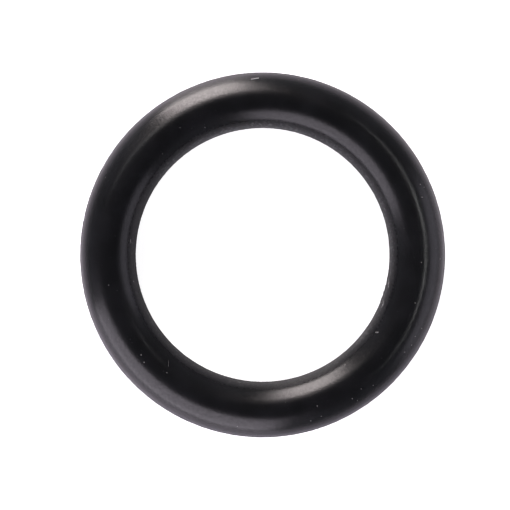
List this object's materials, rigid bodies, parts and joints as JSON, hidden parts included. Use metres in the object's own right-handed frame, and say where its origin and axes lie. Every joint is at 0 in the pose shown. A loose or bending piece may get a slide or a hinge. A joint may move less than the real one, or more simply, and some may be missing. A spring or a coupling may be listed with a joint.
{
  "type": "o-ring",
  "caption": "Plain rubber O-ring: a round black cord moulded as a closed circle, with a fine trimmed mould line along its inside and outside.",
  "frame": {"origin": "centre of the ring, on the plane where the mould halves meet", "axes": "+Z along the ring's axis; the ring lies flat and is the same in every direction around it"},
  "size_m": [0.02, 0.02, 0.003],
  "materials": {
    "rubber": "satin moulded black rubber"
  },
  "bodies": {
    "root": {"o_ring": "rubber"}
  },
  "joints": []
}
